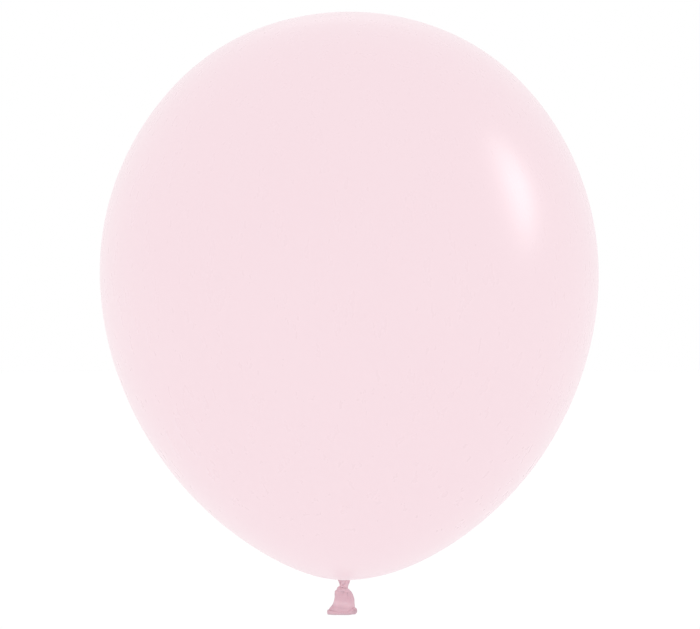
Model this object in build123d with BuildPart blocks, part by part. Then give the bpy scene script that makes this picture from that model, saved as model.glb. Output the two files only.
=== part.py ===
from build123d import *
from math import cos, hypot, pi, sin, sqrt
import os

os.makedirs("parts", exist_ok=True)

# Inflated and tied round latex balloon, neck down. Millimetres, +Z up.
# The origin is the centre of the waist: the narrow stretch of neck between the
# balloon and its knot, where a ribbon is tied. +X is to the right and the flat
# tail is wide along X.

# ---------------------------------------------------------------- dimensions
BALLOON_DIAMETER = 457.0      # 18 in balloon at its rated size
ENVELOPE_BOTTOM = 4.76        # lowest point of the inflated envelope
ENVELOPE_TOP = 524.5          # crown
ENVELOPE_AXIS_X = 4.67        # the envelope leans: its axis passes beside the neck
ENVELOPE_WALL = 0.5           # stands in for a stretched film of about 0.015
# half-width = sqrt(1 - u^2) * (C0 + C1 u + ...), u = -1 at the bottom, +1 at the crown
ENVELOPE_SHAPE = [0.9959, 0.0960, -0.0501, -0.0326, -0.0175, 0.1035]

THROAT_RADIUS = 5.2           # gathered film where it leaves the envelope
THROAT_CLEARANCE = 0.05       # round the gather, in the envelope's throat hole
THROAT_TOP = 7.6
THROAT_FOOT_RADIUS = 4.62     # foot of the gather, above the waist
THROAT_FOOT = 2.55
THROAT_PLEATS = 10
PLEAT_RADIUS = 0.42

NECK_TOP = 2.4                # the neck turns under the gather with 0.15 between
NECK_TOP_RADIUS = 4.5
WAIST_RADIUS = 4.1            # 8.2 across, the tie point
WAIST_TOP = 1.2
KNOT_SEAT_RADIUS = 4.25       # the knot tilts round the rounded end of the neck

# knot core: (z, centre x, half-width x, half-depth y), neck side first
KNOT_CORE = [
    (-2.60, -1.00, 4.90, 4.20),
    (-4.00, -1.00, 5.20, 4.20),
    (-5.30, -1.10, 6.30, 4.00),
    (-6.45, -1.10, 7.70, 3.20),
]
KNOT_GAP = 0.05               # between the core and the loop round it
LOOP_HALF_WIDTH = 5.6         # centreline of the loop that is pulled round the core
LOOP_HALF_DEPTH = 3.9
LOOP_RADIUS = 1.5
LOOP_CENTRE = (-1.0, 0.0, -4.0)
LOOP_TILT = 9.0               # left side of the loop rides higher

TAIL_PIVOT = -7.2             # crease just under the knot
TAIL_WALL = 0.6
# tail, a collapsed tube that opens towards its lip: (z, centre x, half-width x, half-depth y)
TAIL = [
    (-7.20, -0.65, 8.20, 0.60),
    (-10.50, -0.30, 8.70, 2.00),
    (-13.70, 0.00, 9.25, 3.30),
    (-17.40, -0.60, 9.95, 4.50),
    (-21.10, -1.30, 11.35, 5.00),
    (-24.60, -2.15, 12.35, 5.05),
]
TAIL_HOLLOW_FROM = 1          # the tube is pinched shut above this section

LIP_HALF_WIDTH = 12.05        # centreline of the rolled rim
LIP_HALF_DEPTH = 4.75
LIP_RADIUS = 1.55             # 3.1 thick roll
LIP_CENTRE = (-2.15, 0.0, -24.85)
LIP_TILT = -3.9               # right end of the rim sits higher
LIP_GAP = 0.05


# ------------------------------------------------------------------ envelope
def envelope_point(u):
    """Height and half-width of the envelope at u, from -1 at the bottom to 1 at the crown."""
    middle = (ENVELOPE_TOP + ENVELOPE_BOTTOM) / 2
    half = (ENVELOPE_TOP - ENVELOPE_BOTTOM) / 2
    width = sqrt(max(0.0, 1 - u * u)) * sum(c * u**k for k, c in enumerate(ENVELOPE_SHAPE))
    return width * BALLOON_DIAMETER / 2, middle + half * u


def envelope_profile(inset, count=28):
    """Points down one side of the envelope from the crown to the bottom, inset by the wall."""
    points = []
    for i in range(count + 1):
        a = pi * i / count
        u = cos(a)
        if i == 0:
            points.append((0.0, ENVELOPE_TOP - inset))
        elif i == count:
            points.append((0.0, ENVELOPE_BOTTOM + inset))
        else:
            r, z = envelope_point(u)
            r1, z1 = envelope_point(cos(a - 1e-4))
            r2, z2 = envelope_point(cos(a + 1e-4))
            tr, tz = r2 - r1, z2 - z1
            length = hypot(tr, tz)
            points.append((r + inset * tz / length, z - inset * tr / length))
    return points


envelope_plane = Plane(origin=(ENVELOPE_AXIS_X, 0, 0), x_dir=(1, 0, 0), z_dir=(0, -1, 0))
outer_points = envelope_profile(0.0)
inner_points = envelope_profile(ENVELOPE_WALL)

# One blown bag of film, closed at the crown, open only at the throat.
with BuildPart() as envelope:
    with BuildSketch(envelope_plane) as envelope_section:
        with BuildLine() as envelope_line:
            Spline(*outer_points, tangents=[(1, 0), (-1, 0)], tangent_scalars=[1, 1])
            Line(outer_points[-1], inner_points[-1])
            Spline(*inner_points, tangents=[(1, 0), (-1, 0)], tangent_scalars=[1, 1])
            Line(inner_points[0], outer_points[0])
        make_face()
    revolve(axis=Axis((ENVELOPE_AXIS_X, 0, 0), (0, 0, 1)))
    # throat hole, on the neck's own axis
    with BuildSketch(Plane.XY):
        Circle(THROAT_RADIUS + THROAT_CLEARANCE)
    extrude(amount=THROAT_TOP + 5, mode=Mode.SUBTRACT)

envelope.part.label = "envelope"
export_step(envelope.part, "parts/envelope.step")

# ------------------------------------------------------------- throat gather
# The film drawn together into pleats as it leaves the envelope.
with BuildPart() as throat_gather:
    with BuildSketch(Plane.XZ) as gather_section:
        with BuildLine() as gather_line:
            Line((0, THROAT_FOOT), (THROAT_FOOT_RADIUS, THROAT_FOOT))
            Spline(
                (THROAT_FOOT_RADIUS, THROAT_FOOT),
                (THROAT_FOOT_RADIUS + 0.22, THROAT_FOOT + 0.7),
                (THROAT_RADIUS, ENVELOPE_BOTTOM - 0.45),
            )
            Line((THROAT_RADIUS, ENVELOPE_BOTTOM - 0.45), (THROAT_RADIUS, THROAT_TOP - 1.2))
            Spline(
                (THROAT_RADIUS, THROAT_TOP - 1.2),
                (THROAT_RADIUS - 0.9, THROAT_TOP - 0.3),
                (0, THROAT_TOP),
                tangents=[(0, 1), (-1, 0)],
            )
            Line((0, THROAT_TOP), (0, THROAT_FOOT))
        make_face()
    revolve(axis=Axis.Z)
    # valleys between the pleats
    with BuildSketch(Plane.XY.offset(THROAT_FOOT - 1)):
        with PolarLocations(THROAT_RADIUS + 0.12, THROAT_PLEATS):
            Circle(PLEAT_RADIUS)
    extrude(amount=THROAT_TOP, mode=Mode.SUBTRACT)

throat_gather.part.label = "throat_gather"
export_step(throat_gather.part, "parts/throat_gather.step")

# ----------------------------------------------------------------- neck stem
# The tie point: the neck twisted into a short strand, rounded where the knot turns on it.
with BuildPart() as neck_stem:
    with BuildSketch(Plane.XZ) as stem_section:
        with BuildLine() as stem_line:
            Line((0, NECK_TOP), (NECK_TOP_RADIUS, NECK_TOP))
            Spline(
                (NECK_TOP_RADIUS, NECK_TOP),
                (WAIST_RADIUS, WAIST_TOP),
                tangents=[(-0.35, -1), (0, -1)],
            )
            Line((WAIST_RADIUS, WAIST_TOP), (WAIST_RADIUS, 0))
            CenterArc((0, 0), WAIST_RADIUS, 0, -90)
            Line((0, -WAIST_RADIUS), (0, NECK_TOP))
        make_face()
    revolve(axis=Axis.Z)

neck_stem.part.label = "neck_stem"
export_step(neck_stem.part, "parts/neck_stem.step")


# ----------------------------------------------------------------------- knot
def oval_loft_sections(sections, grow=0.0):
    """Draws one ellipse for each (z, centre x, half-width, half-depth)."""
    made = []
    for z, cx, hx, hy in sections:
        with BuildSketch(Plane.XY.offset(z)) as section:
            with Locations((cx, 0)):
                Ellipse(hx + grow, hy + grow)
        made.append(section.sketch)
    return made


core_sections = oval_loft_sections(KNOT_CORE)
core_cut_sections = oval_loft_sections(KNOT_CORE, KNOT_GAP)

# The strand that runs through the knot, with a round seat for the neck.
with BuildPart() as knot_strand:
    loft(sections=core_sections)
    Sphere(KNOT_SEAT_RADIUS, mode=Mode.SUBTRACT)

knot_strand.part.label = "knot_strand"
export_step(knot_strand.part, "parts/knot_strand.step")

loop_plane = Plane(
    origin=LOOP_CENTRE,
    x_dir=(cos(LOOP_TILT * pi / 180), 0, -sin(LOOP_TILT * pi / 180)),
    z_dir=(sin(LOOP_TILT * pi / 180), 0, cos(LOOP_TILT * pi / 180)),
)

# The turn of neck that is pulled tight round the strand.
with BuildPart() as knot_loop:
    with BuildLine(loop_plane) as loop_path:
        EllipticalCenterArc((0, 0), LOOP_HALF_WIDTH, LOOP_HALF_DEPTH, start_angle=0, arc_size=360)
    with BuildSketch(Plane(origin=loop_path.line @ 0, x_dir=loop_plane.x_dir, z_dir=loop_path.line % 0)):
        Circle(LOOP_RADIUS)
    sweep(path=loop_path.line)
    loft(sections=core_cut_sections, mode=Mode.SUBTRACT)
    Sphere(KNOT_SEAT_RADIUS, mode=Mode.SUBTRACT)

knot_loop.part.label = "knot_loop"
export_step(knot_loop.part, "parts/knot_loop.step")

# ----------------------------------------------------------------------- tail
lip_plane = Plane(
    origin=LIP_CENTRE,
    x_dir=(cos(LIP_TILT * pi / 180), 0, -sin(LIP_TILT * pi / 180)),
    z_dir=(sin(LIP_TILT * pi / 180), 0, cos(LIP_TILT * pi / 180)),
)

tail_outer = oval_loft_sections(TAIL)
tail_inner = oval_loft_sections(TAIL[TAIL_HOLLOW_FROM:], -TAIL_WALL)

# The free end of the neck: pinched flat under the knot, hollow and open at the lip.
with BuildPart() as tail_skirt:
    loft(sections=tail_outer)
    loft(sections=tail_inner, mode=Mode.SUBTRACT)
    # seat on the rolled rim
    with BuildLine(lip_plane) as seat_path:
        EllipticalCenterArc((0, 0), LIP_HALF_WIDTH, LIP_HALF_DEPTH, start_angle=0, arc_size=360)
    with BuildSketch(Plane(origin=seat_path.line @ 0, x_dir=lip_plane.x_dir, z_dir=seat_path.line % 0)):
        Circle(LIP_RADIUS + LIP_GAP)
    sweep(path=seat_path.line, mode=Mode.SUBTRACT)

tail_skirt.part.label = "tail_skirt"
export_step(tail_skirt.part, "parts/tail_skirt.step")

# The rim that is rolled up on itself when the balloon is made.
with BuildPart() as lip_bead:
    with BuildLine(lip_plane) as lip_path:
        EllipticalCenterArc((0, 0), LIP_HALF_WIDTH, LIP_HALF_DEPTH, start_angle=0, arc_size=360)
    with BuildSketch(Plane(origin=lip_path.line @ 0, x_dir=lip_plane.x_dir, z_dir=lip_path.line % 0)):
        Circle(LIP_RADIUS)
    sweep(path=lip_path.line)

lip_bead.part.label = "lip_bead"
export_step(lip_bead.part, "parts/lip_bead.step")
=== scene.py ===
import math

import bpy
import numpy as np
from mathutils import Matrix, Vector


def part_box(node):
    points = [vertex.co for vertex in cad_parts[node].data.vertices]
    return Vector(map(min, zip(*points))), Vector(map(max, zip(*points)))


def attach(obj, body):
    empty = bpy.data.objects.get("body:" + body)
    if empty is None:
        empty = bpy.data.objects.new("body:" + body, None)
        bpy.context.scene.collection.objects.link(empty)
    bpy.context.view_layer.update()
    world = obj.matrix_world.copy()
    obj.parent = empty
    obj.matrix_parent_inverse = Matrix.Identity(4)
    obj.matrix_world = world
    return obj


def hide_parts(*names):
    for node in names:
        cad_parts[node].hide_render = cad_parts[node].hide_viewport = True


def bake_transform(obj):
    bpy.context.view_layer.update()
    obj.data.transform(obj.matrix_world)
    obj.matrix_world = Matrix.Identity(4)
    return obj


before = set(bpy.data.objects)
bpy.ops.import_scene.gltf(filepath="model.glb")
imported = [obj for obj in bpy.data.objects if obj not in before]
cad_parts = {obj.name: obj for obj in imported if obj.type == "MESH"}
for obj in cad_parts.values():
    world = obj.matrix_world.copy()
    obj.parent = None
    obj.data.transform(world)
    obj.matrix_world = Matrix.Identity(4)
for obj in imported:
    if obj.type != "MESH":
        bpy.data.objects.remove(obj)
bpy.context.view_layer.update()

MM = 0.001
scene = bpy.context.scene
scene.view_settings.view_transform = "Standard"
scene.view_settings.look = "None"
scene.view_settings.exposure = 0.0
scene.view_settings.gamma = 1.0

# ------------------------------------------------------------------ measures
env_lo, env_hi = (np.array(v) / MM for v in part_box("envelope"))
AXIS_X = float(env_lo[0] + env_hi[0]) / 2
TOP, BOTTOM = float(env_hi[2]), float(env_lo[2])
RADIUS = float(env_hi[0] - env_lo[0]) / 2


# ------------------------------------------------------------------- helpers
def smooth(a, b, x):
    t = np.clip((np.asarray(x, float) - a) / (b - a), 0, 1)
    return t * t * (3 - 2 * t)


def curve(points):
    """A smooth monotone-cubic line through (position, value) pairs."""
    p = np.array(sorted(points), float)
    x, y = p[:, 0], p[:, 1]
    h = np.diff(x)
    s = np.diff(y) / h
    m = np.zeros_like(y)
    m[0], m[-1] = s[0], s[-1]
    for i in range(1, len(y) - 1):
        if s[i - 1] * s[i] <= 0:
            m[i] = 0
        else:
            w1, w2 = 2 * h[i] + h[i - 1], h[i] + 2 * h[i - 1]
            m[i] = (w1 + w2) / (w1 / s[i - 1] + w2 / s[i])

    def f(v):
        v = np.clip(np.asarray(v, float), x[0], x[-1])
        k = np.clip(np.searchsorted(x, v, side="right") - 1, 0, len(h) - 1)
        t = (v - x[k]) / h[k]
        return (
            y[k] * (1 + 2 * t) * (1 - t) ** 2
            + m[k] * h[k] * t * (1 - t) ** 2
            + y[k + 1] * t * t * (3 - 2 * t)
            + m[k + 1] * h[k] * t * t * (t - 1)
        )

    return f


def wave_noise(seed, count, lo, hi):
    """A repeatable smooth 3-D noise: a sum of sines with random directions. Wavelengths from lo to hi."""
    rng = np.random.default_rng(seed)
    dirs = rng.normal(size=(count, 3))
    dirs /= np.linalg.norm(dirs, axis=1)[:, None]
    k = 2 * math.pi / rng.uniform(lo, hi, count)
    ph = rng.uniform(0, 2 * math.pi, count)

    def f(p):
        p = np.asarray(p, float)
        return np.sin(p @ (dirs * k[:, None]).T + ph).sum(-1) / math.sqrt(count)

    return f


def build(name, verts, faces, attrs=None, sharp=None):
    """A mesh object from millimetre points."""
    mesh = bpy.data.meshes.new(name)
    mesh.from_pydata((np.asarray(verts) * MM).tolist(), [], faces)
    mesh.validate()
    for key, values in (attrs or {}).items():
        values = np.asarray(values, np.float32)
        if values.ndim == 2:
            a = mesh.attributes.new(key, "FLOAT_VECTOR", "POINT")
            a.data.foreach_set("vector", values.ravel())
        else:
            a = mesh.attributes.new(key, "FLOAT", "POINT")
            a.data.foreach_set("value", values)
    mesh.polygons.foreach_set("use_smooth", [True] * len(mesh.polygons))
    if sharp:
        wanted = {frozenset(e) for e in sharp}
        for e in mesh.edges:
            if frozenset(e.vertices) in wanted:
                e.use_edge_sharp = True
    mesh.update()
    obj = bpy.data.objects.new(name, mesh)
    scene.collection.objects.link(obj)
    return obj


def flatten(values, count):
    """Ring-shaped numbers, or ring-shaped vectors, as one row per point."""
    values = np.asarray(values, float)
    return values.reshape(count, 3) if values.size == 3 * count else values.reshape(count)


def tube(name, rings, attrs=None, sharp_ends=(False, False), outward=True):
    """A closed skin from rings of points, (count, segments, 3), with a cap at each end."""
    rings = np.asarray(rings, float)
    n, m = rings.shape[:2]
    verts = rings.reshape(-1, 3)
    faces = []
    for i in range(n - 1):
        for j in range(m):
            k = (j + 1) % m
            faces.append((i * m + j, i * m + k, (i + 1) * m + k, (i + 1) * m + j))
    extra, extra_src = [], []
    base = n * m
    for end, ring0 in ((0, 0), (1, (n - 1) * m)):
        ring = verts[ring0 : ring0 + m]
        centre = ring.mean(0)
        previous = list(range(ring0, ring0 + m))
        for share in (0.6, 0.25):
            start = base + len(extra)
            extra += list(centre + (ring - centre) * share)
            extra_src += list(range(ring0, ring0 + m))
            now = list(range(start, start + m))
            for j in range(m):
                k = (j + 1) % m
                q = (previous[j], previous[k], now[k], now[j])
                faces.append(q if end else q[::-1])
            previous = now
        mid = base + len(extra)
        extra.append(centre)
        extra_src.append(ring0)
        for j in range(m):
            k = (j + 1) % m
            q = (previous[j], previous[k], mid)
            faces.append(q if end else q[::-1])
    if not outward:
        faces = [f[::-1] for f in faces]
    all_verts = np.vstack([verts, np.array(extra)])
    full = {}
    for key, values in (attrs or {}).items():
        values = flatten(values, n * m)
        full[key] = np.concatenate([values, values[extra_src]])
    sharp = []
    for on, ring0 in zip(sharp_ends, (0, (n - 1) * m)):
        if on:
            sharp += [(ring0 + j, ring0 + (j + 1) % m) for j in range(m)]
    return build(name, all_verts, faces, full, sharp)


def torus(name, rings, attrs=None):
    """A closed skin from rings that also close on each other."""
    rings = np.asarray(rings, float)
    n, m = rings.shape[:2]
    faces = []
    for i in range(n):
        a = (i + 1) % n
        for j in range(m):
            k = (j + 1) % m
            faces.append((i * m + j, i * m + k, a * m + k, a * m + j))
    flat = {k: flatten(v, n * m) for k, v in (attrs or {}).items()}
    return build(name, rings.reshape(-1, 3), faces, flat)


def fix_normals(obj):
    import bmesh

    bm = bmesh.new()
    bm.from_mesh(obj.data)
    bmesh.ops.recalc_face_normals(bm, faces=bm.faces)
    bm.to_mesh(obj.data)
    bm.free()
    obj.data.update()


# ----------------------------------------------------------------- materials
def nodes_of(name):
    mat = bpy.data.materials.new(name)
    mat.use_nodes = True
    nt = mat.node_tree
    nt.nodes.clear()
    out = nt.nodes.new("ShaderNodeOutputMaterial")
    bsdf = nt.nodes.new("ShaderNodeBsdfPrincipled")
    nt.links.new(bsdf.outputs[0], out.inputs[0])
    return mat, nt, bsdf


def noise_node(nt, scale, detail=2.0, rough=0.5, distortion=0.0, stretch=None):
    tc = nt.nodes.new("ShaderNodeTexCoord")
    src = tc.outputs["Object"]
    if stretch:
        mp = nt.nodes.new("ShaderNodeMapping")
        mp.inputs["Scale"].default_value = stretch
        nt.links.new(src, mp.inputs["Vector"])
        src = mp.outputs["Vector"]
    n = nt.nodes.new("ShaderNodeTexNoise")
    n.inputs["Scale"].default_value = scale
    n.inputs["Detail"].default_value = detail
    n.inputs["Roughness"].default_value = rough
    n.inputs["Distortion"].default_value = distortion
    nt.links.new(src, n.inputs["Vector"])
    return n.outputs["Fac"]


def remap(nt, src, a, b, c, d):
    m = nt.nodes.new("ShaderNodeMapRange")
    m.inputs["From Min"].default_value = a
    m.inputs["From Max"].default_value = b
    m.inputs["To Min"].default_value = c
    m.inputs["To Max"].default_value = d
    nt.links.new(src, m.inputs["Value"])
    return m.outputs["Result"]


def math_node(nt, op, a, b):
    m = nt.nodes.new("ShaderNodeMath")
    m.operation = op
    for k, v in enumerate((a, b)):
        if isinstance(v, (int, float)):
            m.inputs[k].default_value = v
        else:
            nt.links.new(v, m.inputs[k])
    return m.outputs[0]


def attribute(nt, name):
    a = nt.nodes.new("ShaderNodeAttribute")
    a.attribute_name = name
    return a.outputs["Fac"]


def mix_colour(nt, fac, a, b):
    m = nt.nodes.new("ShaderNodeMix")
    m.data_type = "RGBA"
    for key, v in (("A", a), ("B", b)):
        sock = [s for s in m.inputs if s.name == key and s.type == "RGBA"][0]
        if isinstance(v, tuple):
            sock.default_value = (*v, 1.0)
        else:
            nt.links.new(v, sock)
    f = [s for s in m.inputs if s.name == "Factor" and s.type == "VALUE"][0]
    if isinstance(fac, (int, float)):
        f.default_value = fac
    else:
        nt.links.new(fac, f)
    return [s for s in m.outputs if s.type == "RGBA"][0]


FILM = (0.934, 0.741, 0.789)
FILM_DEEP = (0.922, 0.708, 0.764)
FILM_PAINTED_LIGHT = (1.0, 0.925, 0.947)
NECK_PAINTED_LIT = (0.82, 0.580, 0.640)
NECK_BODY = (0.735, 0.485, 0.550)
NECK_PAINTED_SHADE = (0.545, 0.350, 0.407)


def latex_inflated():
    """Stretched film: satin, faintly cloudy where the dipped skin is thicker, deeper at the throat and crown, and
    painted paler on the bag's bottom round the throat: a painted highlight that also covers the shade and the tail's
    reflection there.
    """
    mat, nt, b = nodes_of("latex_inflated")
    cloud = noise_node(nt, 6.0, 3.0, 0.5)
    fine = noise_node(nt, 90.0, 3.0, 0.6, stretch=(1, 1, 0.35))
    drift = math_node(
        nt, "ADD", remap(nt, cloud, 0.3, 0.7, -0.10, 0.10), remap(nt, fine, 0.3, 0.7, -0.012, 0.012)
    )
    thick = attribute(nt, "thick")
    throat_painted_light = attribute(nt, "throat_painted_light")
    matt = attribute(nt, "matt")
    deep = mix_colour(nt, math_node(nt, "ADD", drift, 0.14), FILM, FILM_DEEP)
    # painted light: the bag's bottom round the throat is mixed towards a paler pink
    deep = mix_colour(nt, math_node(nt, "MULTIPLY", throat_painted_light, 0.95), deep, FILM_PAINTED_LIGHT)
    base = mix_colour(nt, thick, deep, NECK_BODY)
    nt.links.new(base, b.inputs["Base Color"])
    rough = math_node(nt, "ADD", remap(nt, fine, 0.3, 0.7, 0.27, 0.29), math_node(nt, "MULTIPLY", matt, 0.40))
    nt.links.new(rough, b.inputs["Roughness"])
    # the film is duller where it is drawn in, so it doesn't mirror the neck
    nt.links.new(math_node(nt, "SUBTRACT", 0.5, math_node(nt, "MULTIPLY", matt, 0.42)), b.inputs["Specular IOR Level"])
    b.inputs["Sheen Weight"].default_value = 0.12
    b.inputs["Sheen Roughness"].default_value = 0.35
    b.inputs["IOR"].default_value = 1.5
    bump = nt.nodes.new("ShaderNodeBump")
    bump.inputs["Strength"].default_value = 0.012
    bump.inputs["Distance"].default_value = 0.0002
    nt.links.new(noise_node(nt, 420.0, 2.0, 0.5), bump.inputs["Height"])
    nt.links.new(bump.outputs["Normal"], b.inputs["Normal"])
    return mat


def flow_noise(nt, scale, detail, rough):
    """Noise drawn out along the strand: its coordinates turn with the strand, so the lines follow every fold."""
    at = nt.nodes.new("ShaderNodeAttribute")
    at.attribute_name = "flow"
    n = nt.nodes.new("ShaderNodeTexNoise")
    n.inputs["Scale"].default_value = scale
    n.inputs["Detail"].default_value = detail
    n.inputs["Roughness"].default_value = rough
    nt.links.new(at.outputs["Vector"], n.inputs["Vector"])
    return n.outputs["Fac"]


def latex_neck(name="latex_neck"):
    """Unstretched rubber: deeper pink, with painted light and shade from the shade attribute: painted paler on the
    ridges of the folds, painted darker down in the folds; with fine wrinkles.
    """
    mat, nt, b = nodes_of(name)
    shade, gather = attribute(nt, "shade"), attribute(nt, "gather")
    streak = flow_noise(nt, 1.5, 3.0, 0.6)
    cloud = remap(nt, noise_node(nt, 210.0, 3.0, 0.55), 0.3, 0.7, -0.07, 0.07)
    speck = remap(nt, noise_node(nt, 1900.0, 2.0, 0.6), 0.3, 0.7, -0.03, 0.03)
    lines = math_node(nt, "MULTIPLY", remap(nt, streak, 0.3, 0.7, -0.16, 0.16), gather)
    s = math_node(nt, "ADD", math_node(nt, "ADD", math_node(nt, "ADD", shade, cloud), speck), lines)
    # painted shade and painted light: low shade values go to the darker pink, high ones to the paler pink
    low = mix_colour(nt, remap(nt, s, 0.0, 0.5, 0.0, 1.0), NECK_PAINTED_SHADE, NECK_BODY)
    base = mix_colour(nt, remap(nt, s, 0.5, 1.0, 0.0, 1.0), low, NECK_PAINTED_LIT)
    nt.links.new(base, b.inputs["Base Color"])
    rough = remap(nt, noise_node(nt, 500.0, 3.0, 0.6), 0.3, 0.7, 0.34, 0.48)
    nt.links.new(rough, b.inputs["Roughness"])
    b.inputs["IOR"].default_value = 1.5
    b.inputs["Subsurface Weight"].default_value = 0.10
    b.inputs["Subsurface Radius"].default_value = (1.0, 0.5, 0.45)
    b.inputs["Subsurface Scale"].default_value = 0.0006
    b.inputs["Sheen Weight"].default_value = 0.05
    b.inputs["Sheen Roughness"].default_value = 0.5
    crepe = nt.nodes.new("ShaderNodeBump")
    crepe.inputs["Strength"].default_value = 0.30
    crepe.inputs["Distance"].default_value = 0.00010
    h = math_node(
        nt,
        "ADD",
        noise_node(nt, 1100.0, 4.0, 0.6, 0.8, stretch=(1, 1, 0.6)),
        math_node(nt, "MULTIPLY", noise_node(nt, 4200.0, 2.0, 0.5), 0.30),
    )
    nt.links.new(h, crepe.inputs["Height"])
    pull = nt.nodes.new("ShaderNodeBump")
    pull.inputs["Strength"].default_value = 0.85
    pull.inputs["Distance"].default_value = 0.00016
    nt.links.new(math_node(nt, "MULTIPLY", streak, gather), pull.inputs["Height"])
    nt.links.new(crepe.outputs["Normal"], pull.inputs["Normal"])
    nt.links.new(pull.outputs["Normal"], b.inputs["Normal"])
    return mat


MAT_FILM = latex_inflated()
MAT_NECK = latex_neck()

# ------------------------------------------------------------ the film skins
# One skin runs from the bag to the lip. left/right edges and half-depth by height.
LEFT = curve([
    (6.5, -4.7), (5.2, -5.9), (4.4, -5.9), (3.2, -5.3), (1.8, -4.9), (0.9, -4.45), (0, -4.3), (-0.9, -4.6),
    (-1.8, -5.1), (-3.2, -5.0), (-4.4, -6.2), (-5.2, -8.0), (-6.0, -8.85), (-8.2, -8.92), (-10.1, -8.9), (-13.7, -9.35),
    (-17.4, -10.6), (-19.2, -11.9), (-21.1, -13.4), (-23.0, -14.4), (-25.5, -14.6),
])
RIGHT = curve([
    (6.5, 4.2), (5.2, 5.3), (4.4, 5.3), (3.2, 4.9), (1.8, 4.65), (0.9, 4.1), (0, 3.9), (-0.9, 3.6),
    (-1.8, 3.5), (-3.2, 3.3), (-4.4, 4.0), (-5.2, 5.3), (-6.2, 6.6), (-8.2, 7.65), (-10.1, 8.35), (-13.7, 9.3),
    (-17.4, 9.5), (-19.2, 9.9), (-21.1, 10.2), (-23.0, 10.0), (-25.5, 9.7),
])
DEPTH = curve([
    (6.5, 4.3), (5.2, 5.4), (4.4, 5.4), (3.2, 4.95), (1.8, 4.5), (0.9, 4.1), (0, 3.9), (-0.9, 3.9),
    (-1.8, 3.9), (-3.2, 3.7), (-4.4, 3.6), (-5.4, 3.4), (-6.4, 3.05), (-7.2, 2.85), (-8.2, 2.9), (-10.1, 3.4), (-13.7, 4.5),
    (-17.4, 5.2), (-19.2, 5.3), (-21.1, 5.2), (-23.0, 4.95), (-25.5, 4.75),
])
# depth of the fine pleats and of the broad flutes
FINE = curve([
    (6.5, 0.30), (4.4, 0.46), (1.8, 0.60), (0, 0.60), (-2.0, 0.6), (-5.4, 0.46), (-6.4, 0.34), (-8.2, 0.22),
    (-10.5, 0.13), (-13.0, 0.07), (-16.0, 0.03), (-25.5, 0.015),
])
BROAD = curve([
    (6.5, 0.0), (0.0, 0.0), (-4.0, 0.12), (-6.4, 0.28), (-8.2, 0.36), (-11.0, 0.38), (-14.0, 0.32), (-17.4, 0.22),
    (-20.0, 0.10), (-22.5, 0.03), (-25.5, 0.0),
])
TURN = curve([(6.5, 0.0), (3.0, 0.05), (0.0, 0.35), (-3.0, 0.90), (-6.4, 1.25), (-9.0, 1.36), (-25.5, 1.40)])
# how tightly the rubber is gathered, which sets how strong its fine lines are
GATHER = curve([(6.5, 0.6), (3.0, 0.85), (0.0, 1.0), (-6.0, 1.0), (-9.0, 0.7), (-13.0, 0.34), (-18.0, 0.16), (-25.5, 0.12)])
PLEATS = 12
skin_noise = wave_noise(11, 14, 1.6, 5.0)
fold_noise = wave_noise(12, 10, 5.0, 14.0)


def pleat(phi):
    """-1 in the narrow valleys, 0 on the broad ridges."""
    return -((0.5 + 0.5 * np.cos(phi)) ** 2.2)


def warp(theta):
    return theta + 0.17 * np.sin(2 * theta + 0.9) + 0.10 * np.sin(3 * theta + 2.1) + 0.05 * np.sin(5 * theta)


def pleat_strength(theta, z):
    """No two pleats are the same: some are deep, some almost vanish, and they change along the strand."""
    return np.clip(
        0.72 + 0.26 * np.sin(3 * theta + 1.3 + 0.30 * z) + 0.20 * np.sin(7 * theta + 0.4 - 0.45 * z), 0.15, 1.15
    )


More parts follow.
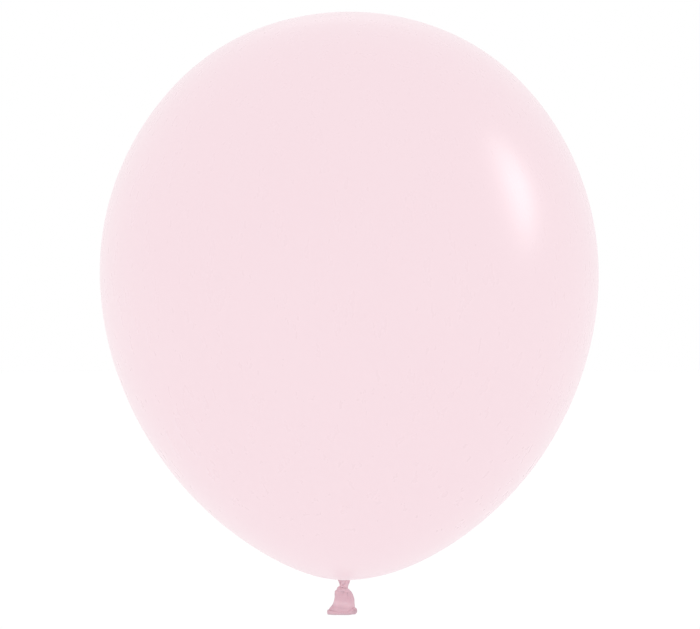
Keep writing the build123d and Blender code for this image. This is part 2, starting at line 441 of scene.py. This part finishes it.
def skin(z, theta, inset=0.0):
    """Point on the film, its shade, its gather and its flow, at heights z and angles theta (0 at +X, 90 at +Y)."""
    z, theta = np.broadcast_arrays(np.asarray(z, float), np.asarray(theta, float))
    left, right, depth = LEFT(z), RIGHT(z), DEPTH(z)
    cx, a = (left + right) / 2, (right - left) / 2
    c, s = np.cos(theta), np.sin(theta)
    turned = warp(theta) + TURN(z)
    fine = pleat(PLEATS * turned) * pleat_strength(theta, z)
    broad = pleat(5 * turned + 0.8) * (0.7 + 0.3 * np.sin(2 * theta + 0.4))
    # outward normal of the oval
    nx, ny = c / a, s / depth
    nn = np.hypot(nx, ny)
    nx, ny = nx / nn, ny / nn
    edge = 1 - 0.75 * np.abs(nx) ** 3 * smooth(-5.0, -8.0, z)
    d = FINE(z) * fine * edge + BROAD(z) * broad * 1.6 * edge
    # a soft slanting fold across the front of the tail, and another on the back
    x0 = cx + a * c
    front = smooth(0.1, -0.5, s) * smooth(-11.0, -14.0, z) * smooth(-24.0, -20.5, z)
    line = -15.6 - 0.13 * (x0 + 9.0)
    u = (z - line) / 2.3
    slant = np.exp(-u * u)
    d = d + front * (0.42 * slant - 0.30 * np.exp(-(((z - line + 3.6) / 1.8) ** 2)))
    back = smooth(-0.1, 0.5, s) * smooth(-10.0, -14.0, z) * smooth(-24.0, -20.0, z)
    v = (z + 17.0 - 0.3 * x0) / 2.4
    d = d + back * 0.35 * np.exp(-v * v)
    x, y = cx + a * c + nx * (d - inset), depth * s + ny * (d - inset)
    p = np.stack([x, y, z], -1)
    wobble = skin_noise(p) * (0.03 + 0.05 * smooth(-14.0, -4.0, z) * smooth(7.0, 3.0, z))
    wobble = wobble + fold_noise(p) * 0.09 * smooth(-6.0, -12.0, z) * smooth(-25.0, -21.0, z)
    p = p + np.stack([nx, ny, 0 * nx], -1) * wobble[..., None]
    # painted shade: darker down in the pleat valleys and the broad flutes
    shade = 0.54 + 0.42 * fine * smooth(-12.0, -5.0, z) * (0.55 + 0.45 * smooth(1.0, -5.0, z))
    shade = shade + 0.05 * broad * smooth(-18.0, -9.0, z)
    # the strand is painted pale where it goes into the knot: painted light that lifts the shadow of the crease under
    # the loop
    shade = shade + 0.32 * smooth(1.5, -1.0, z) * smooth(-6.5, -3.5, z)
    # painted highlight along the slanting fold on the tail's front, and painted shade in the crease below it
    shade = shade + front * (0.34 * slant * smooth(12.0, -2.0, x0) - 0.16 * np.exp(-(((z - line + 4.2) / 1.6) ** 2)))
    # painted shade: the tail darkens towards its left and right sides, more on the right
    shade = shade - 0.56 * np.abs(nx) ** 8 * smooth(-5.0, -8.0, z) * np.where(nx > 0, 1.0, 0.8)
    shade = shade + 0.04 * fold_noise(p * 0.7)
    flow = np.stack([3.6 * np.cos(turned), 3.6 * np.sin(turned), z * 0.13], -1)
    return p, {"shade": np.clip(shade, 0, 1), "gather": GATHER(z) * np.ones_like(z), "flow": flow}


def ring_angles(m):
    return np.linspace(0, 2 * math.pi, m, endpoint=False)


# ------------------------------------------------------------------ envelope
SHAPE = [0.9959, 0.0960, -0.0501, -0.0326, -0.0175, 0.1035]
# how far the bag's middle leans off the crown's axis, near the bottom
LEAN = curve([(3.0, -AXIS_X), (4.6, -AXIS_X + 0.2), (6.0, -3.3), (9.0, -2.0), (16.0, -0.6), (30.0, 0.3), (60.0, 0.9),
              (100.0, 1.1), (150.0, 0.5), (220.0, 0.0), (540.0, 0.0)])


def bag_point(a):
    u = np.cos(a)
    r = np.sin(a) * sum(c * u**k for k, c in enumerate(SHAPE)) * RADIUS
    return r, (TOP + BOTTOM) / 2 + (TOP - BOTTOM) / 2 * u


def make_envelope():
    m = 432
    theta = ring_angles(m)
    rows = 300
    a = math.pi * np.linspace(0.0, 1.0, rows)
    r, z = bag_point(a)
    keep = ((r > 9.0) | (z > 100)) & (r > 0.6)
    r, z = r[keep], z[keep]
    # finish: more rows in to the throat, then a small roll down into the gather
    r_end, z_end = r[-1], z[-1]
    r_roll, z_roll = 6.55, 4.95
    rr, zz = list(r), list(z)
    for q in np.linspace(r_end, r_roll, 22)[1:]:
        t = (r_end - q) / (r_end - r_roll)
        rr.append(q)
        zz.append(z_end + (z_roll - z_end) * (2 * t - t * t))
    for k in range(1, 13):
        t = math.pi / 2 * k / 12
        rr.append(r_roll - 1.15 * math.sin(t))
        zz.append(z_roll - 0.75 * (1 - math.cos(t)))
    for q, w in ((5.2, 4.1), (4.7, 4.05), (4.2, 4.0)):
        rr.append(q)
        zz.append(w)
    rr, zz = np.array(rr), np.array(zz)
    R, T = np.meshgrid(rr, theta, indexing="ij")
    Z = np.repeat(zz[:, None], m, 1)
    low = Z < 200
    # pleats that run out of the throat into the bottom of the bag
    fan = np.exp(-np.clip(R - 5.0, 0, None) / 5.0) * low
    f12 = pleat(PLEATS * warp(T)) * pleat_strength(T, 4.5)
    reach = 16.0 + 9.0 * np.sin(2 * T + 2.0) + 5.0 * np.sin(5 * T + 0.7)
    long = np.exp(-np.clip(R - 6.0, 0, None) / reach) * low * pleat(PLEATS * warp(T)) * np.clip(0.5 + 0.6 * np.sin(3 * T + 0.4), 0, 1)
    bag_noise = wave_noise(5, 12, 160.0, 420.0)
    X = AXIS_X + LEAN(Z) + R * np.cos(T)
    Y = R * np.sin(T)
    P = np.stack([X, Y, Z], -1)
    centre = np.array([AXIS_X, 0, (TOP + BOTTOM) / 2])
    out = P - centre
    out /= np.linalg.norm(out, axis=-1)[..., None]
    even = smooth(8.0, 90.0, R) * 0.55
    P = P + out * (bag_noise(P) * even - 0.35 * even)[..., None]
    P[..., 2] += -(fan * f12 * 0.50 + long * 0.26) * smooth(4.2, 6.2, R)
    # the small nub at the crown, where the film is thickest
    crown = (R < 30) & (Z > 300)
    P[..., 2] += np.where(crown, 0.25 * np.exp(-((R / 5.0) ** 2)), 0.0)
    thick = np.clip(
        np.where(low, smooth(6.6, 5.5, R) * 0.95 - 0.10 * f12 * fan - 0.05 * long, 0)
        + np.where(crown, 0.10 * np.exp(-((R / 7.0) ** 2)) + 0.04 * np.exp(-((R / 22.0) ** 2)), 0),
        0, 1,
    )
    # painted light: how far the bag's bottom round the throat is painted paler, standing in for highlights on its
    # pleats and lifting the shade and the tail's reflection there
    throat_painted_light = np.where(low, np.exp(-np.clip(R - 9.0, 0, None) / 13.0), 0.0)
    matt = np.where(low, np.exp(-np.clip(R - 14.0, 0, None) / 20.0), 0.0)
    return tube("envelope_skin", P, {"thick": thick, "throat_painted_light": throat_painted_light, "matt": matt}, outward=False)


envelope = make_envelope()
fix_normals(envelope)
envelope.data.materials.append(MAT_FILM)
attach(envelope, "balloon")
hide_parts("envelope")


# ------------------------------------------------------- throat and neck
def strand(name, z_top, z_low, rows, m=324, sharp=(False, False), shrink=None):
    z = np.linspace(z_top, z_low, rows)
    Z, T = np.meshgrid(z, ring_angles(m), indexing="ij")
    p, attrs = skin(Z, T)
    if shrink is not None:
        k = shrink(Z)[..., None]
        mid = np.stack([(LEFT(Z) + RIGHT(Z)) / 2, 0 * Z, Z], -1)
        p = np.where(k < 1, mid + (p - mid) * k, p)
        p[..., 2] = Z
    o = tube(name, p, attrs, sharp_ends=sharp)
    fix_normals(o)
    o.data.materials.append(MAT_NECK)
    return o


NECK_JOIN = 1.1
throat = strand("throat_pleats", 5.9, NECK_JOIN, 76, sharp=(False, True),
                shrink=lambda z: 1 - 0.25 * smooth(5.0, 5.9, z))
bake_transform(throat)
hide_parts("throat_gather")

neck = strand("neck_strand", NECK_JOIN, -3.9, 72, sharp=(True, False),
              shrink=lambda z: 1 - 0.35 * smooth(-2.6, -3.9, z))
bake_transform(neck)
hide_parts("neck_stem")


# --------------------------------------------------------------------- knot
CORE_LEFT = curve([(-1.0, -3.0), (-1.3, -4.2), (-1.8, -4.9), (-2.7, -5.7), (-3.6, -6.5), (-4.6, -7.7), (-5.4, -8.45),
                   (-6.2, -8.4), (-6.8, -7.0), (-7.0, -4.0)])
CORE_RIGHT = curve([(-1.0, 2.0), (-1.3, 2.8), (-1.8, 3.2), (-2.7, 3.4), (-3.6, 3.9), (-4.6, 4.9), (-5.4, 5.7),
                    (-6.2, 6.1), (-6.8, 5.0), (-7.0, 2.4)])
CORE_DEPTH = curve([(-1.0, 2.4), (-1.3, 3.4), (-1.8, 3.9), (-2.7, 4.2), (-3.6, 4.3), (-4.6, 4.2), (-5.4, 3.9),
                    (-6.2, 3.2), (-6.8, 2.2), (-7.0, 1.2)])


def make_core():
    """The bunched strand inside the knot, whose folds fan out below the loop and run on into the tail."""
    m = 324
    z = np.concatenate([np.linspace(-1.0, -1.6, 12)[:-1], np.linspace(-1.6, -6.3, 76)[:-1], np.linspace(-6.3, -7.0, 14)])
    Z, T = np.meshgrid(z, ring_angles(m), indexing="ij")
    a = (CORE_RIGHT(Z) - CORE_LEFT(Z)) / 2
    cx = (CORE_RIGHT(Z) + CORE_LEFT(Z)) / 2
    b = CORE_DEPTH(Z)
    c, s = np.cos(T), np.sin(T)
    turned = warp(T) + TURN(Z)
    fine = pleat(PLEATS * turned) * pleat_strength(T, Z)
    side = smooth(-1.0, -1.7, Z) * smooth(-7.0, -6.2, Z)
    nx, ny = c / a, s / b
    nn = np.hypot(nx, ny)
    nx, ny = nx / nn, ny / nn
    d = 0.62 * fine * side
    x, y = cx + a * c + nx * d, b * s + ny * d
    p = np.stack([x, y, Z], -1)
    lump = wave_noise(21, 14, 1.5, 4.0)(p) * 0.11 * side
    p = p + np.stack([nx, ny, 0 * nx], -1) * lump[..., None]
    # painted shade in the pleat valleys, plus a little random tone
    shade = 0.52 + 0.44 * fine + 0.10 * wave_noise(22, 8, 2.0, 5.0)(p)
    flow = np.stack([3.6 * np.cos(turned), 3.6 * np.sin(turned), Z * 0.13], -1)
    return tube("knot_core", p, {"shade": np.clip(shade, 0, 1), "gather": 1.0 + 0 * Z, "flow": flow})


core = make_core()
fix_normals(core)
core.data.materials.append(MAT_NECK)
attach(core, "knot")
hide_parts("knot_strand")


def make_wrap():
    """The loop pulled tight round the strand: a pleated band, slanting down across the front, tucked in at the back."""
    n, m = 460, 84
    t = np.linspace(0, 1, n)
    ang = np.radians(58 + (486 - 58) * t)
    z = -3.80 - 1.90 * (t - 0.5) + 0.95 * np.cos(ang - math.pi + 0.25) + 0.12 * np.sin(3 * ang)
    tuck = smooth(0, 0.12, t) * smooth(1.0, 0.88, t)
    wide = 4.80 - 1.9 * (1 - tuck) + 0.10 * np.sin(2 * ang + 0.5) - 0.30 * smooth(0.4, 1.0, -np.cos(ang))
    deep = 4.15 - 1.8 * (1 - tuck)
    path = np.stack([-1.05 + wide * np.cos(ang), deep * np.sin(ang), z], -1)
    tan = np.gradient(path, axis=0)
    tan /= np.linalg.norm(tan, axis=1)[:, None]
    out = np.stack([np.cos(ang) / wide, np.sin(ang) / deep, 0 * ang], -1)
    out -= (out * tan).sum(1)[:, None] * tan
    out /= np.linalg.norm(out, axis=1)[:, None]
    up = np.cross(tan, out)
    q = ring_angles(m)
    half_w = (1.42 + 0.22 * np.sin(2 * ang + 2.6) + 0.12 * np.sin(5 * ang)) * (0.35 + 0.65 * tuck)
    half_t = (0.86 + 0.10 * np.sin(2 * ang + 1.0)) * (0.35 + 0.65 * tuck)
    # rounded-rectangle section
    cq, sq = np.cos(q), np.sin(q)
    ex = 0.82
    sx = np.sign(cq) * np.abs(cq) ** ex
    sy = np.sign(sq) * np.abs(sq) ** ex
    # lengthwise pleats that wander along the band, split and fade
    Q, A = np.meshgrid(q, ang, indexing="xy")
    wander = 0.30 * np.sin(1.3 * A + 0.4) + 0.16 * np.sin(3.1 * A + 1)
    weight = np.clip(0.72 + 0.30 * np.sin(2 * Q + 1.7 * A) + 0.16 * np.sin(5 * A - Q), 0.1, 1.2)
    grooves = pleat(8 * (Q + wander * 0.6)) * weight
    scale = np.clip((half_w + half_t)[:, None] / 2, 0.3, 1.2)
    g = 0.27 * grooves * scale
    P = (
        path[:, None, :]
        + out[:, None, :] * (half_t[:, None] * sx[None] + g * cq[None])[..., None]
        + up[:, None, :] * (half_w[:, None] * sy[None] + g * sq[None])[..., None]
    )
    lump = wave_noise(31, 14, 1.4, 4.0)(P) * 0.085
    P = P + out[:, None, :] * lump[..., None]
    # on the left the band leans outwards with the slope of the shoulder under it
    lean = 0.58 * smooth(0.25, 0.95, -np.cos(A))
    rise = P[..., 2] - path[:, None, 2]
    P[..., 0] += lean * rise
    P[..., 2] -= 0.5 * lean * np.clip(rise, 0, None)
    # painted shade in the band's grooves, plus a little random tone
    shade = 0.74 + 0.32 * grooves + 0.08 * wave_noise(32, 8, 2, 5)(P)
    turned = Q + wander * 0.6
    flow = np.stack([1.9 * np.cos(turned), 1.9 * np.sin(turned), A * 0.5], -1)
    return tube("knot_wrap", P, {"shade": np.clip(shade, 0, 1), "gather": 1.0 + 0 * A, "flow": flow})


wrap = make_wrap()
fix_normals(wrap)
wrap.data.materials.append(MAT_NECK)
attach(wrap, "knot")
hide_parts("knot_loop")


# --------------------------------------------------------------------- tail
# the roll's centreline: angle 0 at the right end, 180 at the left, 270 in front
LIP_X, LIP_Z = -2.30, -25.65


def ends(phi):
    c = np.cos(phi)
    return smooth(0.50, 1.0, c), smooth(0.58, 1.0, -c)


def lip_centre(phi):
    c, s = np.cos(phi), np.sin(phi)
    right, left = ends(phi)
    back = smooth(0.0, 1.0, s)
    x = LIP_X + 11.2 * c
    y = 4.75 * s + 0.30 * np.sin(2 * phi + 0.6)
    z = LIP_Z + 1.95 * right + 0.80 * left + 0.7 * back
    return np.stack([x, y, z], -1)


def lip_size(phi):
    """Half-width outwards, half-width inwards and half-height: the roll bunches up at the two folded ends."""
    right, left = ends(phi)
    w_out = 1.50 + 1.20 * right + 0.72 * left + 0.05 * np.sin(6 * phi + 1)
    w_in = 1.45 + 0.0 * right
    h = 1.60 + 1.50 * right + 0.80 * left + 0.04 * np.sin(5 * phi)
    return w_out, w_in, h


def make_tail():
    m = 360
    theta = ring_angles(m)
    wall = 0.42
    z_top = -4.9
    # outer skin from inside the knot down to the roll, ending on the roll's own wandering line
    rows = 150
    v = np.linspace(0, 1, rows)
    rim = lip_centre(theta)
    rim_h = lip_size(theta)[2]
    z_rim = rim[:, 2] + np.minimum(rim_h * 0.72, 1.15)
    foot = np.stack([rim[:, 0], rim[:, 1], z_rim], -1)
    inward = np.stack([np.cos(theta), np.sin(theta), 0 * theta], -1)

    def wall_at(v, inset, gap):
        V, T = np.meshgrid(v, theta, indexing="ij")
        Z = z_top + (z_rim[None, :] - z_top) * V
        p, attrs = skin(Z, T, inset=inset)
        # draw the foot in to the roll's centreline
        k = smooth(0.76, 1.0, V)[..., None]
        target = foot[None] - inward[None] * gap
        target = np.concatenate([np.broadcast_to(target[..., :2], p[..., :2].shape), p[..., 2:]], -1)
        return V, p * (1 - k) + target * k, attrs

    V, p, attrs = wall_at(v, 0.0, -0.35)
    # close the top inside the knot
    top = smooth(0.0, 0.045, V)[..., None]
    mid = np.array([-1.3, 0])
    p[..., :2] = mid + (p[..., :2] - mid) * (0.70 + 0.30 * top)
    # painted a little lighter where the skin meets the roll: painted light that softens the shadow in the crease there
    attrs["shade"] = attrs["shade"] + 0.10 * smooth(0.955, 1.0, V)
    # inner wall, from the rim back up to where the tube is pinched shut
    V2, q, attrs2 = wall_at(np.linspace(1, 0.30, 90), wall, wall - 0.35)
    # the collapsed tube closes flat towards the knot
    shut = smooth(0.50, 0.30, V2)
    q[..., 1] *= 1 - 0.72 * shut
    q[..., 0] = -0.8 + (q[..., 0] + 0.8) * (1 - 0.22 * shut)
    # painted shade: the inner wall is darker, more so where the tube closes
    attrs2["shade"] = attrs2["shade"] - 0.18 - 0.2 * shut
    both = {k: np.concatenate([attrs[k], attrs2[k]], 0) for k in attrs}
    both["shade"] = np.clip(both["shade"], 0, 1)
    return tube("tail_skin", np.concatenate([p, q], 0), both)


tail = make_tail()
fix_normals(tail)
tail.data.materials.append(MAT_NECK)
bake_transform(tail)
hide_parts("tail_skirt")


def make_lip():
    """The rim rolled up on itself: a round roll with the loose edge of its last turn showing, bunched at its ends."""
    n, m = 540, 100
    phi = ring_angles(n)
    c = lip_centre(phi)
    w_out, w_in, h = lip_size(phi)
    tan = np.roll(c, -1, 0) - np.roll(c, 1, 0)
    tan /= np.linalg.norm(tan, axis=1)[:, None]
    up0 = np.array([0, 0, 1.0])
    out = np.cross(tan, up0)
    out /= np.linalg.norm(out, axis=1)[:, None]
    up = np.cross(out, tan)
    q = ring_angles(m)
    Q, F = np.meshgrid(q, phi, indexing="xy")
    right, left = ends(F)
    squar = 1.0 - 0.12 * right - 0.34 * left
    sx = np.sign(np.cos(Q)) * np.abs(np.cos(Q)) ** squar
    sy = np.sign(np.sin(Q)) * np.abs(np.sin(Q)) ** squar
    w = np.where(np.cos(Q) > 0, w_out[:, None], w_in[:, None])
    # the roll's last turn ends in a small step on the inner side; a second line wanders along the outside
    around = (Q - 3.75) % (2 * math.pi)
    step = 0.17 * smooth(0.0, 0.16, around) * smooth(2 * math.pi, 2 * math.pi - 2.4, around)
    off = ((Q - 5.45 - 0.12 * np.sin(2 * F) - 0.05 * np.sin(5 * F)) + math.pi) % (2 * math.pi) - math.pi
    line = -0.10 * np.exp(-((off / 0.12) ** 2)) * np.clip(0.6 + 0.5 * np.sin(3 * F + 1.0), 0, 1)
    # uneven stretch ripples across the roll, and a few creases where it folds at its ends
    slow = np.sin(3 * F + 0.4) + 0.8 * np.sin(7 * F + 2.0) + 0.5 * np.sin(13 * F)
    ripple = 0.020 * np.sin(41 * F + 2.6 * slow + 1.1 * np.sin(Q)) * np.clip(0.4 + 0.5 * np.sin(4 * F + 0.5), 0, 1)
    creases = 0 * F
    for at, width, depth, lean in ((0.07, 0.030, 0.24, 0.05), (-0.16, 0.035, 0.30, -0.06), (0.34, 0.05, 0.20, 0.10),
                                   (-0.42, 0.05, 0.16, -0.08), (3.03, 0.032, 0.22, 0.05), (3.27, 0.036, 0.28, -0.07),
                                   (2.78, 0.05, 0.18, 0.08), (3.55, 0.05, 0.18, -0.10)):
        gap = (F - at - lean * np.sin(Q + 0.5) + math.pi) % (2 * math.pi) - math.pi
        creases = creases - depth * np.exp(-((gap / width) ** 2)) * smooth(-0.35, 0.5, np.cos(Q))
    d = step + line + ripple + creases - 0.10
    P = (
        c[:, None, :]
        + out[:, None, :] * (w * sx + d * np.cos(Q))[..., None]
        + up[:, None, :] * (h[:, None] * sy + d * np.sin(Q))[..., None]
    )
    lump = wave_noise(41, 12, 4.0, 11.0)(P) * 0.07 + wave_noise(42, 12, 1.6, 4.0)(P) * 0.03
    P = P + (out[:, None, :] * np.cos(Q)[..., None] + up[:, None, :] * np.sin(Q)[..., None]) * lump[..., None]
    # the underside is pressed a little flat
    floor_z = LIP_Z - 1.60
    low = P[..., 2] < floor_z + 0.35
    P[..., 2] = np.where(low, floor_z + 0.35 + (P[..., 2] - floor_z - 0.35) * 0.45, P[..., 2])
    # painted shade in the roll's line and creases, and painted light and shade across its ripples and lumps
    shade = 0.47 + 1.3 * line + 0.9 * creases + 3.0 * ripple + 0.05 * lump / 0.07
    # painted shade on the underside of the roll
    shade = shade - 1.0 * smooth(floor_z + 1.45, floor_z + 0.55, P[..., 2]) * np.where(np.cos(Q) > -0.2, 1.0, 0.6)
    # painted shade on the outer face of the roll's right end
    shade = shade - 0.34 * right * smooth(0.55, 0.95, np.cos(Q))
    flow = np.stack([1.9 * np.cos(Q) + 1.1 * np.cos(F), 1.9 * np.sin(Q) + 0.4 * np.cos(2 * F), 1.1 * np.sin(F)], -1)
    gather = 0.30 + 0.35 * np.maximum(right, left)
    return torus("lip_roll", P, {"shade": np.clip(shade, 0, 1), "gather": gather, "flow": flow})


lip = make_lip()
fix_normals(lip)
lip.data.materials.append(MAT_NECK)
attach(lip, "tail")
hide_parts("lip_bead")


# --------------------------------------------------------------------- stage
def make_floor():
    """A wide pale floor below the balloon. Its underside is clear, so that it never hides the object."""
    bpy.ops.mesh.primitive_circle_add(vertices=96, radius=40.0, fill_type="NGON", location=(0, 0, -0.40))
    floor = bpy.context.object
    floor.name = "stage_floor"
    mat = bpy.data.materials.new("stage_floor")
    mat.use_nodes = True
    nt = mat.node_tree
    nt.nodes.clear()
    out = nt.nodes.new("ShaderNodeOutputMaterial")
    b = nt.nodes.new("ShaderNodeBsdfPrincipled")
    b.inputs["Base Color"].default_value = (0.80, 0.80, 0.80, 1)
    b.inputs["Roughness"].default_value = 0.9
    b.inputs["Emission Color"].default_value = (1, 1, 1, 1)
    b.inputs["Emission Strength"].default_value = 0.205
    clear = nt.nodes.new("ShaderNodeBsdfTransparent")
    geo = nt.nodes.new("ShaderNodeNewGeometry")
    mix = nt.nodes.new("ShaderNodeMixShader")
    nt.links.new(geo.outputs["Backfacing"], mix.inputs[0])
    nt.links.new(b.outputs[0], mix.inputs[1])
    nt.links.new(clear.outputs[0], mix.inputs[2])
    nt.links.new(mix.outputs[0], out.inputs[0])
    floor.data.materials.append(mat)


make_floor()

world = bpy.data.worlds.new("studio")
scene.world = world
world.use_nodes = True
bg = world.node_tree.nodes.get("Background")
bg.inputs["Color"].default_value = (1, 1, 1, 1)
bg.inputs["Strength"].default_value = 1.0


def softbox(name, place, aim, up, size, power, spread=180.0):
    """An oval area light seen only in the object's gloss: its long side lies along up."""
    light = bpy.data.lights.new(name, "AREA")
    light.shape = "ELLIPSE"
    light.size, light.size_y = size
    light.energy = power
    light.spread = math.radians(spread)
    o = bpy.data.objects.new(name, light)
    scene.collection.objects.link(o)
    back = (Vector(place) - Vector(aim)).normalized()
    high = Vector(up)
    high = (high - back * high.dot(back)).normalized()
    side = high.cross(back)
    o.matrix_world = Matrix((side, high, back)).transposed().to_4x4()
    o.location = place
    o.visible_camera = False
    o.visible_diffuse = False
    return o


# tall oval on the right: its reflection is the long soft highlight
softbox("oval_right", (0.800, -0.144, 0.625), (0.1636, -0.250, 0.355), (-0.397, 0.205, 0.895), (0.22, 0.63), 0.131, 50.0)
# a wide low oval behind and above: a thin lighter line just inside the upper edge
softbox("oval_back", (-0.22, 4.0, 2.95), (0, 0, 0.50), (0, 0, 1), (2.2, 0.32), 0.66)

# -------------------------------------------------------------------- camera
IMAGE_W, IMAGE_H = 700, 629
MM_PER_PX = 0.916
cam_data = bpy.data.cameras.new("camera")
cam_data.lens = 200.0
cam_data.sensor_width = 36.0
cam_data.clip_end = 100.0
cam = bpy.data.objects.new("camera", cam_data)
scene.collection.objects.link(cam)
distance = IMAGE_W * MM_PER_PX * MM / 36.0 * 200.0
cam.location = ((IMAGE_W / 2 - 344.3) * MM_PER_PX * MM, -distance, (585.0 - IMAGE_H / 2) * MM_PER_PX * MM)
cam.rotation_euler = (math.radians(90), 0, 0)
scene.camera = cam
